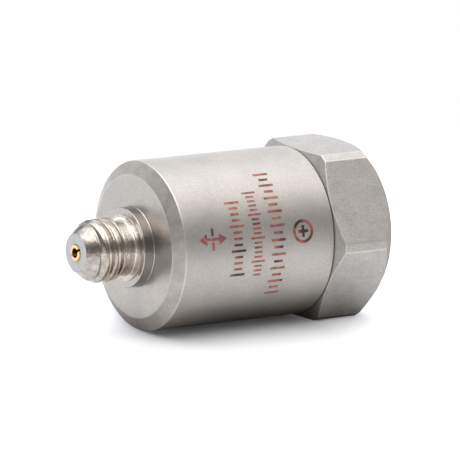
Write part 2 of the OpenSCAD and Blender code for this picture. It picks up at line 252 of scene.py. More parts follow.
def makeThreadTree(reach=1.6):
    # turns the round wall of a mesh into a right-handed thread: each vertex that is no farther from the wall
    # than reach times the thread's depth moves along its radius
    tree, add, given = newTree("cutThread", Material=["Material"], Float=[
        "Pitch", "Depth", "Wall radius", "From X", "To X", "Run-out", "Crest X", "Crest angle", "Crest share",
        "Root share", "Side"])
    wall, depth, side = given["Wall radius"], given["Depth"], given["Side"]
    x, y, z = add(splitNode, add("GeometryNodeInputPosition"), output=None)
    squares = [add(mathNode, part, part, **times) for part in (y, z)]
    radius = add(mathNode, add(mathNode, *squares, **plus), operation="SQRT")
    angle = add(mathNode, add(mathNode, z, y, operation="ARCTAN2"), given["Crest angle"], **minus)
    turns = add(mathNode, angle, 2 * math.pi, **over)
    pitches = add(mathNode, add(mathNode, x, given["Crest X"], **minus), given["Pitch"], **over)
    phase = add(mathNode, add(mathNode, pitches, turns, **minus), operation="FRACT")
    toCrest = add(mathNode, add(mathNode, phase, 2.0, -1.0, operation="MULTIPLY_ADD"), operation="ABSOLUTE")
    toRoot = add(mathNode, 1.0, toCrest, **minus)  # 0 on the middle of a crest, 1 on the middle of a root
    rootFrom = add(mathNode, 1.0, given["Root share"], **minus)
    groove = add(rampNode, toRoot, given["Crest share"], rootFrom, **smooth)
    deepFrom = add(mathNode, given["From X"], given["Run-out"], **plus)
    deepTo = add(mathNode, given["To X"], given["Run-out"], **minus)
    fadeIn = add(rampNode, x, given["From X"], deepFrom, **smooth)
    fadeOut = add(rampNode, x, deepTo, given["To X"], 1.0, 0.0, **smooth)
    fade = add(mathNode, fadeIn, fadeOut, **times)
    cut = add(mathNode, add(mathNode, groove, depth, **times), fade, **times)
    target = add(mathNode, wall, add(mathNode, cut, side, **times), **minus)
    # Side is 1 for a shaft, where the lesser radius counts, and -1 for a hole, where the greater one does
    sided = [add(mathNode, part, side, **times) for part in (radius, target)]
    moved = add(mathNode, side, add(mathNode, *sided, operation="MINIMUM"), **times)
    share = add(mathNode, moved, add(mathNode, radius, 1e-9, operation="MAXIMUM"), **over)
    place = add(joinNode, x, *(add(mathNode, part, share, **times) for part in (y, z)))
    afterStart = add(mathNode, x, given["From X"], operation="GREATER_THAN")
    beforeEnd = add(mathNode, x, given["To X"], operation="LESS_THAN")
    offWall = add(mathNode, add(mathNode, radius, wall, **minus), operation="ABSOLUTE")
    nearWall = add(mathNode, offWall, add(mathNode, depth, reach, **times), operation="LESS_THAN")
    chosen = add(mathNode, add(mathNode, afterStart, beforeEnd, **times), nearWall, **times)
    shaped = add("GeometryNodeSetPosition", given["Geometry"], chosen, place)
    return endTree(tree, add, shaped, given["Material"])


threadTree = makeThreadTree()


def cutThread(piece, thread, wallRadius, material):
    applyModifier(piece, "NODES", {
        "Pitch": thread["pitch"] * mm, "Depth": thread["depth"] * mm, "Wall radius": wallRadius * mm,
        "From X": -thread["to"] * mm, "To X": -thread["from"] * mm, "Run-out": thread["runOut"] * mm,
        "Crest X": -thread["crestHeight"] * mm, "Crest angle": math.radians(thread["crestDegrees"]),
        "Crest share": thread["crestShare"], "Root share": thread["rootShare"], "Side": thread["side"],
        "Material": material}, node_group=threadTree)


def finishPiece(piece, material, replacedNode=None):
    if material:
        piece.data.materials.append(material)
    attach(piece, "root")
    if replacedNode:
        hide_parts(replacedNode)


# materials; metals keep the default IOR, and every pattern is in real mm on Object coordinates
wide, narrow = (0.3, 0.7), (0.35, 0.65)  # where nearly all and most of a noise's values lie
grainDepth = 0.01 * mm


def newMaterial(name):
    material = bpy.data.materials.new(name)
    material.use_nodes = True
    tree = material.node_tree
    add = partial(addNode, tree)
    return material, tree.nodes["Principled BSDF"], add, add("ShaderNodeTexCoord", output="Object")


def fromAxis(add, place):  # how far along the axis, how far from it, and how high above it
    x, y, z = add(splitNode, place, output=None)
    return x, add(vectorNode, add(joinNode, 0.0, y, z), operation="LENGTH", output="Value"), z


def blastedSteel(name, look):
    # bead-blasted stainless: a dull silvery skin of tiny dents, a little uneven as the blast passed over it
    material, shader, add, place = newMaterial(name)
    alongAxis, radius = fromAxis(add, place)[:2]
    cloud, grain, pitted = (add(noiseNode, inputs={
        "Vector": place, "Scale": 1 / (look[size] * mm), "Detail": detail, "Roughness": 0.6})
        for size, detail in (("cloudSize", 3.0), ("grainSize", 2.0), ("pitSize", 1.0)))
    if "ringSize" in look:  # fine rings from the facing cut on the mounting face, drawn coarse enough to show
        rings = add(noiseNode, noise_dimensions="1D", inputs={
            "W": radius, "Scale": 1 / (look["ringSize"] * mm), "Detail": 1.0})
        onFace = add(rampNode, alongAxis, *metres(look["ringZone"], -1), 0.0, look["ringShare"])
        grain = add(mixNode, onFace, inputs={2: grain, 3: rings})
    tone = add(rampNode, cloud, *wide)
    pits = add(rampNode, pitted, *look["pits"], 0.0, look["pitStrength"], **smooth)
    colour = linearColour(look["dark"])
    for share, layer in ((tone, "light"), (pits, "pit")):
        colour = add(mixNode, share, inputs={6: colour, 7: linearColour(look[layer])}, **ofColour)
    tones = [add(rampNode, grain, *wide, *look["grainTones"])]
    onEnd = add(rampNode, alongAxis, *metres(look["endZone"], -1))
    rough = add(rampNode, cloud, *wide, *look["roughness"])
    rough = add(mixNode, onEnd, inputs={2: rough, 3: look["endRoughness"]})
    if "rimSize" in look:  # the front bevel is mottled, where the blast met the turned edge
        patches = add(noiseNode, inputs={
            "Vector": place, "Scale": 1 / (look["rimSize"] * mm), "Detail": 3.0, "Roughness": 0.6})
        mottle = add(rampNode, patches, *narrow, *look["rimTones"])
        onRim = add(mathNode, add(rampNode, alongAxis, *metres(look["rimZone"], -1)),
                    add(rampNode, radius, *metres(look["rimRadii"])), **times)
        tones.append(add(mixNode, onRim, inputs={2: 1.0, 3: mottle}))
    if "coneZone" in look:  # the rear bevel is darker and duller
        onCone = add(rampNode, add(mathNode, radius, alongAxis, **plus), *metres(look["coneZone"]))
        rough = add(mixNode, onCone, inputs={2: rough, 3: look["coneRoughness"]})
        tones.append(add(rampNode, onCone, 0.0, 1.0, 1.0, look["coneTone"]))
    tones.append(add(rampNode, onEnd, 0.0, 1.0, 1.0, look["endTone"]))
    for tone in tones:
        colour = add(vectorNode, colour, inputs={"Scale": tone}, operation="SCALE")
    worn = add("ShaderNodeAttribute", attribute_name="wornEdge", output="Fac")
    polish = add(mathNode, worn, look["edgeWear"], **times)
    rough = add(mixNode, polish, inputs={2: rough, 3: look["edgeRoughness"]})
    # the joint between housing and base holds a hairline of dirt
    fromJoint = add(mathNode, alongAxis, look["jointHeight"] * mm, **plus)
    fromJoint = add(mathNode, fromJoint, operation="ABSOLUTE")
    dirt = add(rampNode, fromJoint, *metres(look["jointZone"]), look["jointDirt"], 0.0, **smooth)
    for share, layer in ((polish, "edge"), (dirt, "joint")):
        colour = add(mixNode, share, inputs={6: colour, 7: linearColour(look[layer])}, **ofColour)
    bump = add("ShaderNodeBump", inputs={"Height": grain, "Strength": look["bump"], "Distance": grainDepth})
    fillInputs(shader, {"Base Color": colour, "Roughness": rough, "Normal": bump, "Metallic": 1.0})
    return material


# sizes, heights above the mounting face, radii and distances from the joint are in mm, and a zone or a pair
# of radii is a ramp from its first value to its second; the blast's dents are drawn coarse enough to show
blastedHousing = blastedSteel("beadBlastedStainless", {
    "light": "#b5b0aa", "dark": "#a8a49f", "pit": "#8a8581", "edge": "#dedad5", "joint": "#3f3b38",
    "cloudSize": 3.0, "grainSize": 0.13, "grainTones": (0.9, 1.1), "bump": 0.5, "roughness": (0.42, 0.48),
    "pitSize": 0.22, "pits": (0.68, 0.76), "pitStrength": 0.2, "edgeWear": 0.32, "edgeRoughness": 0.3,
    "endZone": (19.45, 19.53), "endRoughness": 0.34, "endTone": 0.98,
    "jointHeight": 5.5, "jointZone": (0.048, 0.12), "jointDirt": 0.5,
    "rimZone": (18.93, 18.97), "rimRadii": (5.4, 5.5), "rimSize": 1.1, "rimTones": (0.86, 1.06)})
# the base is milled before it is blasted, which leaves its skin coarser and duller
milledHex = blastedSteel("milledBlastedStainless", {
    "light": "#b6b2ae", "dark": "#a8a5a1", "pit": "#85827e", "edge": "#e6e3df", "joint": "#3f3b38",
    "cloudSize": 1.4, "grainSize": 0.17, "grainTones": (0.89, 1.11), "bump": 0.6, "roughness": (0.47, 0.53),
    "pitSize": 0.26, "pits": (0.64, 0.72), "pitStrength": 0.3, "edgeWear": 0.28, "edgeRoughness": 0.3,
    "endZone": (12.0, 12.08), "endRoughness": 0.35, "endTone": 1.0,
    "jointHeight": 5.5, "jointZone": (0.032, 0.08), "jointDirt": 0.5,
    "coneZone": (6.086, 6.095), "coneRoughness": 0.85, "coneTone": 0.82,  # by radius less height
    "ringSize": 0.16, "ringZone": (0.05, 0.02), "ringShare": 0.75})


def turnedNickel(name, look):
    # nickel-plated turned steel: bright, with fine rings from the tool, drawn coarse enough to show; the
    # flange is left satin, and the thread's roots turn brown, more below the axis than above, so they are
    # darker towards the bottom
    material, shader, add, place = newMaterial(name)
    alongAxis, radius, upwards = fromAxis(add, place)
    rings = add(noiseNode, noise_dimensions="1D", inputs={
        "W": alongAxis, "Scale": 1 / (look["ringSize"] * mm), "Detail": 2.0})
    cloud, dents = (add(noiseNode, inputs={"Vector": place, "Scale": 1 / (look[size] * mm), "Detail": detail})
                    for size, detail in (("cloudSize", 3.0), ("dentSize", 2.0)))
    tone = add(rampNode, cloud, *narrow)
    inRoot = add(rampNode, radius, *metres(look["rootRadii"]), *look["rootShares"], **smooth)
    low = add(rampNode, upwards, *metres(look["lowZone"]), *look["lowShares"], **smooth)
    behindNose = add(rampNode, alongAxis, *metres(look["noseZone"], -1))
    onThread = add(rampNode, alongAxis, *metres(look["threadZone"], -1), 0.0, look["threadStain"])
    sheltered = add(mathNode, inRoot, behindNose, **times)
    # the roots' brown is stronger below the axis: darker towards the bottom
    stain = add(mathNode, add(mathNode, inRoot, low, onThread, operation="MULTIPLY_ADD"), behindNose, **times)
    worn = add("ShaderNodeAttribute", attribute_name="wornEdge", output="Fac")
    satin = add(mathNode, add(rampNode, alongAxis, *metres(look["satinZone"], -1)),
                add(mathNode, 1.0, worn, **minus), **times)
    colour = linearColour(look["dark"])
    for share, layer in ((tone, "light"), (sheltered, "sheltered"), (stain, "tarnish"), (satin, "satin")):
        colour = add(mixNode, share, inputs={6: colour, 7: linearColour(look[layer])}, **ofColour)
    rough = add(rampNode, cloud, *narrow, *look["roughness"])
    rough = add(mixNode, satin, inputs={2: rough, 3: look["satinRoughness"]})
    bump = add("ShaderNodeBump", inputs={
        "Height": dents, "Strength": look["dent"], "Distance": look["dentDepth"] * mm})
    bump = add("ShaderNodeBump", inputs={
        "Height": rings, "Strength": look["bump"], "Distance": grainDepth, "Normal": bump})
    fillInputs(shader, {"Base Color": colour, "Roughness": rough, "Normal": bump, "Metallic": 1.0})
    return material


nickelSocket = turnedNickel("turnedNickelPlate", {
    "light": "#bdb7b0", "dark": "#9b948b", "satin": "#a7a29e", "tarnish": "#8a7661", "sheltered": "#e6e1da",
    "cloudSize": 0.45, "roughness": (0.07, 0.15), "satinZone": (20.56, 20.5), "satinRoughness": 0.18,
    "rootRadii": (2.25, 2.42), "rootShares": (1.0, 0.12),  # how sheltered the thread's roots and crests are
    "lowZone": (0.6, -1.6), "lowShares": (0.05, 0.6),  # how much of the brown lies above and below the axis, which makes the roots darker towards the bottom
    "noseZone": (23.2, 22.9), "threadZone": (21.5, 21.8), "threadStain": 0.32,
    "ringSize": 0.12, "bump": 0.4, "dentSize": 0.5, "dent": 0.5, "dentDepth": 0.06})


def plainFinish(name, look, spread=0.04, boreSoftness=0.03):
    # one finish for the hidden and small pieces: two tones in patches, with a matching grain and roughness;
    # it is a metal unless it has an IOR of its own
    material, shader, add, place = newMaterial(name)
    patch, grain = (add(noiseNode, inputs={"Vector": place, "Scale": 1 / (look[size] * mm), "Detail": detail})
                    for size, detail in (("patchSize", 3.0), ("grainSize", 1.0)))
    colour, layers = linearColour(look["dark"]), [(add(rampNode, patch, *narrow), "light")]
    # painted shade: inside the bore's radius the colour turns dark red-brown, standing for the shade down the
    # deep hole
    if "bore" in look:
        wall = look["boreRadius"]
        boreShade = add(rampNode, fromAxis(add, place)[1], *metres((wall, wall - boreSoftness)))
        layers.append((boreShade, "bore"))
    for share, layer in layers:
        colour = add(mixNode, share, inputs={6: colour, 7: linearColour(look[layer])}, **ofColour)
    rough = add(rampNode, patch, *wide, look["roughness"] - spread, look["roughness"] + spread)
    bump = add("ShaderNodeBump", inputs={"Height": grain, "Strength": look["bump"], "Distance": grainDepth})
    own = {"IOR": look["ior"], "Metallic": 0.0} if "ior" in look else {"Metallic": 1.0}
    fillInputs(shader, {"Base Color": colour, "Roughness": rough, "Normal": bump, **own})
    return material


finishes = {
    # skived fluoropolymer: a flat, faintly waxy blue-grey
    "skivedFluoropolymer": {"light": "#bcbec2", "dark": "#b4b6ba", "patchSize": 0.6, "grainSize": 0.1,
                            "roughness": 0.55, "bump": 0.2, "ior": 1.35},
    # hard gold plate on a turned contact: warm and bright, slightly worn
    "hardGoldPlate": {"light": "#f2cb82", "dark": "#e0b568", "patchSize": 0.3, "grainSize": 0.06,
                      "roughness": 0.24, "bump": 0.25},
    # the same plate on the socket contact, with painted shade in its deep bore: a dark red-brown stands for
    # the shade down the hole
    "goldPlateWithShadedBore": {"light": "#f6d08a", "dark": "#e4ba6c", "patchSize": 0.3, "grainSize": 0.06,
                         "roughness": 0.24, "bump": 0.25, "bore": "#8a4a2a", "boreRadius": 0.4},
    # fused sealing glass: dark grey-green, glossy, with soft swirls
    "fusedSealingGlass": {"light": "#45524c", "dark": "#35403b", "patchSize": 0.5, "grainSize": 0.3,
                          "roughness": 0.12, "bump": 0.1, "ior": 1.52},
    # ground and silvered piezoceramic: pale straw, matt
    "groundPiezoCeramic": {"light": "#d8ccae", "dark": "#c8bb9a", "patchSize": 0.8, "grainSize": 0.08,
                           "roughness": 0.6, "bump": 0.4, "ior": 1.9},
    # sintered tungsten alloy, ground: dark, dense grey with a fine grain
    "groundTungstenAlloy": {"light": "#8a8a8c", "dark": "#767678", "patchSize": 0.4, "grainSize": 0.09,
                            "roughness": 0.38, "bump": 0.4},
    # hardened ring, turned: blued grey
    "hardenedSpringSteel": {"light": "#9c9da1", "dark": "#87898f", "patchSize": 0.9, "grainSize": 0.1,
                            "roughness": 0.3, "bump": 0.3},
    # moulded high-temperature polymer: amber-tan with a moulded satin skin
    "mouldedAmberPolymer": {"light": "#cdb98e", "dark": "#bfa97c", "patchSize": 2.0, "grainSize": 0.15,
                            "roughness": 0.5, "bump": 0.3, "ior": 1.6},
    # glass-epoxy board under green solder mask: glossy, with the weave just showing
    "greenSolderMask": {"light": "#1f6b3c", "dark": "#185a31", "patchSize": 0.5, "grainSize": 0.25,
                        "roughness": 0.32, "bump": 0.5, "ior": 1.5},
    # moulded epoxy chip: near black, finely grained
    "mouldedBlackEpoxy": {"light": "#2b2b2d", "dark": "#222224", "patchSize": 0.5, "grainSize": 0.06,
                          "roughness": 0.6, "bump": 0.5, "ior": 1.55},
    # overglazed resistor: black glaze
    "overglazedResistor": {"light": "#262628", "dark": "#1c1c1e", "patchSize": 0.4, "grainSize": 0.1,
                           "roughness": 0.25, "bump": 0.2, "ior": 1.5},
    # layered ceramic capacitor: dull tan-brown
    "firedCapacitorCeramic": {"light": "#a78860", "dark": "#927450", "patchSize": 0.5, "grainSize": 0.08,
                              "roughness": 0.5, "bump": 0.3, "ior": 1.7},
    # tinned copper wire: soft pale metal
    "tinnedCopper": {"light": "#cfc8bd", "dark": "#bdb4a6", "patchSize": 0.3, "grainSize": 0.08,
                     "roughness": 0.3, "bump": 0.3},
}
made = {name: plainFinish(name, look) for name, look in finishes.items()}


def annealedOxide(name, look):
    # laser-annealed marks: a thin oxide in copper red, brown and violet, darker where the beam dwelt
    material, shader, add, place = newMaterial(name)
    patch = add(noiseNode, inputs={"Vector": place, "Scale": 1 / (look["patchSize"] * mm), "Detail": 0.5})
    colour = add("ShaderNodeValToRGB", patch)
    stops, last = colour.node.color_ramp.elements, len(look["stops"]) - 1
    for i, hexCode in enumerate(look["stops"]):
        position = wide[0] + (wide[1] - wide[0]) * i / last
        stop = stops[0] if i == 0 else stops[-1] if i == last else stops.new(position)
        stop.position, stop.color = position, linearColour(hexCode)
    fillInputs(shader, {"Base Color": colour, "Metallic": look["metallic"], "Roughness": look["roughness"]})
    return material


oxideMark = annealedOxide("laserAnnealedOxide", {
    "stops": ["#40323a", "#76463e", "#a26355", "#74505c", "#ab7362", "#54403f"],
    "patchSize": 1.5, "metallic": 0.5, "roughness": 0.42})
print("materials made")


# hex base: a hexagonal bar with its corners turned down, bevels at both ends, spigot and three-sided post
hexBase = {
    "acrossFlats": 13.0, "cornerRadius": 13 / 2 / math.cos(math.pi / 6) - 0.2, "cornerBlend": 0.035,
    "height": 5.5, "rearFaceRadius": 6.1, "jointRadius": 6.4, "frontBevelDegrees": 30,
    "edge": 0.06, "fineEdge": 0.03, "edgeSteps": 3,
    "spigotRadius": 5.88, "spigotTop": 7.0, "spigotEdge": 0.1,
    "postFlat": 1.5, "postCornerRadius": 2.7, "postTop": 12.2, "pinHoleRadius": 0.27, "pinHoleDepth": 0.8,
    "holeRadius": 2.1, "holeDepth": 4.6, "holeRows": 100, "countersink": 0.4, "drillPointDegrees": 31,
    "thread": {"pitch": 0.8, "depth": 0.34, "from": -0.4, "to": 4.4, "runOut": 0.3, "crestHeight": 0.4,
               "crestDegrees": 0, "crestShare": 0.15, "rootShare": 0.1, "side": -1.0},
    # degrees from the middle of a flat, from its edge, and from the middle of the flat again, on the corner
    "flatColumns": [0, 3, 6, 9, 12, 15, 18, 21, 23.5, 25.3],
    "edgeColumns": [-0.9, -0.5, -0.33, -0.17, 0.0, 0.17, 0.33, 0.5, 0.9], "cornerColumns": [28.8, 30],
    # the edge between a flat and its turned corner is worn, and nothing this low down is polished
    "wornWithinDegrees": 0.4, "wornFrom": 0.04, "wornPast": 0.02, "polishedFrom": 1.5,
}
flatEnd = math.degrees(math.acos(hexBase["acrossFlats"] / 2 / hexBase["cornerRadius"]))


def offsetFromFlat(degrees):  # angle from the middle of the nearest flat
    return abs(degrees % 60 - 30)


def hexColumns():  # angles round the axis: close together where a flat turns into a corner
    half = hexBase["flatColumns"] + [flatEnd + d for d in hexBase["edgeColumns"]] + hexBase["cornerColumns"]
    across = [-h for h in reversed(half[1:-1])] + half
    return [30 + 60 * flat + offset for flat in range(6) for offset in across]


def hexRadius(degrees):  # the flat's line, then the turned corner, with a small round between
    flat = hexBase["acrossFlats"] / 2 / math.cos(math.radians(offsetFromFlat(degrees)))
    corner, blend = hexBase["cornerRadius"], hexBase["cornerBlend"]
    overlap = max(blend - abs(flat - corner), 0) / blend
    return min(flat, corner) - overlap * overlap * blend / 4


def postRadius(degrees):
    offset = (degrees - 30) % 120 - 60
    return min(hexBase["postFlat"] / math.cos(math.radians(offset)), hexBase["postCornerRadius"])


def makeHexBase():
    size = hexBase
    slope = math.tan(math.radians(size["frontBevelDegrees"]))
    hole, pinHole = size["holeRadius"], size["pinHoleRadius"]
    drillPoint = size["holeDepth"] + hole * math.tan(math.radians(size["drillPointDegrees"]))
    pinHoleFloor = size["postTop"] - size["pinHoleDepth"]
    outlines = []
    for degrees in hexColumns():
        radius, post = hexRadius(degrees), postRadius(degrees)
        wallFrom = radius - size["rearFaceRadius"]
        wallTo = size["height"] - (radius - size["jointRadius"]) * slope
        outline = softOutline([
            (size["holeDepth"], hole), (size["countersink"], hole),
            (0, hole + size["countersink"], size["fineEdge"]), (0, size["rearFaceRadius"], size["edge"]),
            (wallFrom, radius, size["edge"]), (wallTo, radius, size["edge"]),
            (size["height"], size["jointRadius"], size["fineEdge"]), (size["height"], size["spigotRadius"]),
            (size["spigotTop"], size["spigotRadius"], size["spigotEdge"]), (size["spigotTop"], post),
            (size["postTop"], post), (size["postTop"], pinHole), (pinHoleFloor, pinHole)],
            closed=False, steps=size["edgeSteps"])
        onEdge = abs(offsetFromFlat(degrees) - flatEnd) < size["wornWithinDegrees"]
        for i, (height, distance, *polished) in enumerate(outline):
            onWall = wallFrom + size["wornFrom"] < height <= wallTo + size["wornPast"]
            if onEdge and onWall and distance > size["jointRadius"]:
                polished = [1.0]
            elif height < size["polishedFrom"]:
                polished = []
            outline[i] = (height, distance, *polished)
        outlines.append(outline)
    rows = [list(row) for row in zip(*outlines)]
    straight, count = size["holeDepth"] - size["countersink"], size["holeRows"]
    holeRows = [(size["holeDepth"] - straight * i / count, hole) for i in range(1, count)]
    rows = [(drillPoint, 0), rows[0], *holeRows, *rows[1:], (pinHoleFloor, 0)]
    piece = loftMesh("hexBase", rows, [math.radians(d) for d in hexColumns()], closedRows=False)
    cutThread(piece, size["thread"], hole, milledHex)
    finishPiece(piece, None, "hex_base")


makeHexBase()
print("hex base made")

housing = {
    "from": 5.5, "to": 19.55, "radius": 6.5, "wall": 0.6, "endWall": 1.0, "tailHole": 1.92, "innerBreak": 0.3,
    "jointBreak": 0.1, "jointEdges": (0.02, 0.05), "bevelHeight": 0.6, "bevelWidth": 1.03,
    "rimEdge": 0.09, "faceEdge": 0.22, "facePolish": 0.4, "segments": 180,
}


def makeHousing():
    size = housing
    inner, radius = size["radius"] - size["wall"], size["radius"]
    roof = size["to"] - size["endWall"]
    outline = softOutline([
        (size["from"], inner), (size["from"], radius - size["jointBreak"], size["jointEdges"][0]),
        (size["from"] + size["jointBreak"], radius, size["jointEdges"][1]),
        (size["to"] - size["bevelHeight"], radius, size["rimEdge"]),
        (size["to"], radius - size["bevelWidth"], size["faceEdge"], size["facePolish"]),
        (size["to"], size["tailHole"]), (roof, size["tailHole"]),
        (roof, inner - size["innerBreak"]), (roof - size["innerBreak"], inner)])
    piece = loftMesh("housingShell", outline, roundAngles(size["segments"]))
    finishPiece(piece, blastedHousing, "housing_shell")


makeHousing()

socket = {
    "tailFrom": 17.95, "tailRadius": 1.9, "boreRadius": 1.15,
    "flangeFrom": 19.55, "flangeTo": 20.48, "flangeRadius": 3.06, "flangeEdge": 0.06,
    "seamRadius": 3.13, "seamHeight": 0.08, "seamEdge": 0.03,
    "footRadius": 2.58, "footHeight": 0.1, "footEdges": (0.02, 0.03), "fillet": 0.09,
    "neckRadius": 2.1, "neckTo": 21.6, "neckEdge": 0.05,
    "threadFrom": 21.78, "threadTo": 23.35, "threadRadius": 2.43, "noseTop": 24.65,
    "noseTurn": 16.2, "noseSteps": 8, "noseEdge": 0.15, "lipRadius": 1.48, "lipEdge": 0.015,
    "coreRadius": 1.425, "coreFrom": 20.78, "segments": 180,
    "rows": {"fromHeight": 20.88, "toHeight": 24.45, "step": 0.04},  # close together where the thread is cut
    "thread": {"pitch": 0.8, "depth": 0.36, "from": 21.5, "to": 24.3, "runOut": 0.35, "crestHeight": 23.4,
               "crestDegrees": 130, "crestShare": 0.16, "rootShare": 0.14, "side": 1.0},
}


def makeSocket():
    size = socket
    flangeTo, foot = size["flangeTo"], size["flangeTo"] + size["footHeight"]
    nose = bulgingLine((size["threadTo"], size["threadRadius"]), (size["noseTop"], size["lipRadius"]),
                       size["noseTurn"], size["noseSteps"])
    outline = softOutline([
        (size["tailFrom"], size["boreRadius"]), (size["tailFrom"], size["tailRadius"]),
        (size["flangeFrom"], size["tailRadius"]), (size["flangeFrom"], size["seamRadius"]),
        (size["flangeFrom"] + size["seamHeight"], size["flangeRadius"], size["seamEdge"]),
        (flangeTo, size["flangeRadius"], size["flangeEdge"]),
        (flangeTo, size["footRadius"], size["footEdges"][0]),
        (foot, size["footRadius"], size["footEdges"][1]), (foot, size["neckRadius"], size["fillet"]),
        (size["neckTo"], size["neckRadius"], size["neckEdge"]),
        (size["threadFrom"], size["threadRadius"], size["neckEdge"]),
        (*nose[0], size["noseEdge"]), *nose[1:-1], (*nose[-1], size["lipEdge"]),
        (size["noseTop"], size["coreRadius"], size["lipEdge"]),
        (size["coreFrom"], size["coreRadius"]), (size["coreFrom"], size["boreRadius"])])
    piece = loftMesh("connectorShell", splitLong(outline, **size["rows"]), roundAngles(size["segments"]))
    cutThread(piece, size["thread"], size["threadRadius"], nickelSocket)
    finishPiece(piece, None, "connector_shell")


makeSocket()

core = {
    "from": 20.78, "to": 24.65, "radius": 1.42, "boreRadius": 0.64, "foot": 0.5, "pinHole": 0.19,
    "edge": 0.025, "segments": 96,
}


def makeCore():
    size = core
    foot = size["from"] + size["foot"]
    outline = softOutline([
        (size["from"], size["radius"]), (size["to"], size["radius"], size["edge"]),
        (size["to"], size["boreRadius"], size["edge"]), (foot, size["boreRadius"]),
        (foot, size["pinHole"]), (size["from"], size["pinHole"])])
    piece = loftMesh("connectorCore", outline, roundAngles(size["segments"]))
    finishPiece(piece, made["skivedFluoropolymer"], "connector_insulator")


makeCore()

contact = {
    "from": 21.28, "to": 24.77, "radius": 0.62, "boreRadius": 0.36, "boreDepth": 2.2, "pinHole": 0.19,
    "pinSeat": 0.9, "slitWidth": 0.2, "slitDepth": 1.6, "slitDegrees": 123, "segments": 64,
    "cutterHalfLength": 0.93, "cutterPast": 0.5,  # the slit's cutter reaches past the contact's sides and end
    "edge": 0.035, "edgeSegments": 2, "edgeFromDegrees": 40,
}


def makeContact():
    size = contact
    boreFloor, pinFloor = size["to"] - size["boreDepth"], size["from"] + size["pinSeat"]
    rows = [
        (pinFloor, 0), (pinFloor, size["pinHole"]), (size["from"], size["pinHole"]),
        (size["from"], size["radius"]), (size["to"], size["radius"]), (size["to"], size["boreRadius"]),
        (boreFloor, size["boreRadius"]), (boreFloor, 0)]
    piece = loftMesh("contactSocket", rows, roundAngles(size["segments"]), closedRows=False)
    turn = math.radians(90 - size["slitDegrees"])
    corners = []
    for height in (size["to"] - size["slitDepth"], size["to"] + size["cutterPast"]):
        for along, across in ((-1, -1), (1, -1), (1, 1), (-1, 1)):
            a, c = along * size["cutterHalfLength"], across * size["slitWidth"] / 2
            corners.append((-height * mm, (a * math.cos(turn) - c * math.sin(turn)) * mm,
                            (a * math.sin(turn) + c * math.cos(turn)) * mm))
    cutter = newPiece("slitCutter", corners, [
        (0, 1, 2, 3), (7, 6, 5, 4), (0, 4, 5, 1), (1, 5, 6, 2), (2, 6, 7, 3), (3, 7, 4, 0)])
    applyModifier(piece, "BOOLEAN", object=cutter, operation="DIFFERENCE", solver="EXACT")
    cutterMesh = cutter.data
    bpy.data.objects.remove(cutter)
    bpy.data.meshes.remove(cutterMesh)
    applyModifier(piece, "BEVEL", width=size["edge"] * mm, segments=size["edgeSegments"],
                  limit_method="ANGLE", angle_limit=math.radians(size["edgeFromDegrees"]))
    piece.data.shade_smooth()
    applyModifier(piece, "WEIGHTED_NORMAL", keep_sharp=True)
    finishPiece(piece, made["goldPlateWithShadedBore"], "contact_socket")


makeContact()
print("housing and socket made")


# marks: thin oxide on the housing, made flat as (around, along, thickness) and then wrapped round it

def makeTickTree():
    tree, add, given = newTree("tickRow", Material=["Material"], Int=["Count", "Long every"], Float=[
        "Spacing", "Width", "Short", "Long", "Thickness", "Radius", "Start angle", "Row X"])
    line = add("GeometryNodeMeshLine", given["Count"], inputs={"Offset": add(joinNode, given["Spacing"])})
    toLong = add(mathNode, add("GeometryNodeInputIndex"), given["Long every"], operation="MODULO")
    isShort = add(mathNode, toLong, 1.0, operation="MINIMUM")
    shorter = add(mathNode, given["Short"], given["Long"], **minus)
    length = add(mathNode, given["Long"], add(mathNode, isShort, shorter, **times), **plus)
    scale = add(joinNode, given["Width"], length, given["Thickness"])
    ticks = add("GeometryNodeInstanceOnPoints", line, inputs={
        "Instance": add("GeometryNodeMeshCube"), "Scale": scale})
    whole = add("GeometryNodeRealizeInstances", ticks)
    x, y, z = add(splitNode, add("GeometryNodeInputPosition"), output=None)
    angle = add(mathNode, given["Start angle"], add(mathNode, x, given["Radius"], **over), **plus)
    radius = add(mathNode, given["Radius"], z, **plus)
    wrapped = add(joinNode, add(mathNode, given["Row X"], y, **plus), *(
        add(mathNode, radius, add(mathNode, angle, operation=part), **times) for part in ("COSINE", "SINE")))
    placed = add("GeometryNodeSetPosition", whole, inputs={"Position": wrapped})
    return endTree(tree, add, placed, given["Material"])


tickTree = makeTickTree()
marks = {
    "thickness": 0.012,
    "rows": [  # height of the row's middle, angle of its first and last tick, spacing, lengths, long every
        {"height": 14.22, "from": 142, "to": 192, "spacing": 0.47, "width": 0.2, "short": 0.75, "long": 1.3,
         "every": 4},
        {"height": 12.45, "from": 136, "to": 196, "spacing": 0.36, "width": 0.16, "short": 0.7, "long": 1.2,
         "every": 5},
        {"height": 10.60, "from": 122, "to": 212, "spacing": 0.55, "width": 0.21, "short": 0.8, "long": 1.3,
         "every": 2},
    ],
    "arrow": {"height": 16.48, "degrees": 165.5, "length": 2.5, "head": 0.72, "headWidth": 0.9,
              "headBlocks": 8, "stem": 0.225,  # the stem is two of the head's blocks wide
              "bar": 1.7, "barBlocks": 4, "gap": 0.1},
    "ring": {"height": 8.35, "degrees": 166.5, "radius": 0.92, "line": 0.24, "cross": 0.46, "count": 40},
}


def makeTicks(name, row):
    piece = newPiece(name)
    arc = math.radians(row["to"] - row["from"]) * housing["radius"]
    applyModifier(piece, "NODES", {
        **{key.capitalize(): row[key] * mm for key in ("spacing", "width", "short", "long")},
        "Count": int(arc / row["spacing"]) + 1, "Long every": row["every"],
        "Thickness": marks["thickness"] * mm, "Radius": housing["radius"] * mm,
        "Start angle": math.radians(row["from"]), "Row X": -row["height"] * mm, "Material": oxideMark},
        node_group=tickTree)
    finishPiece(piece, None)


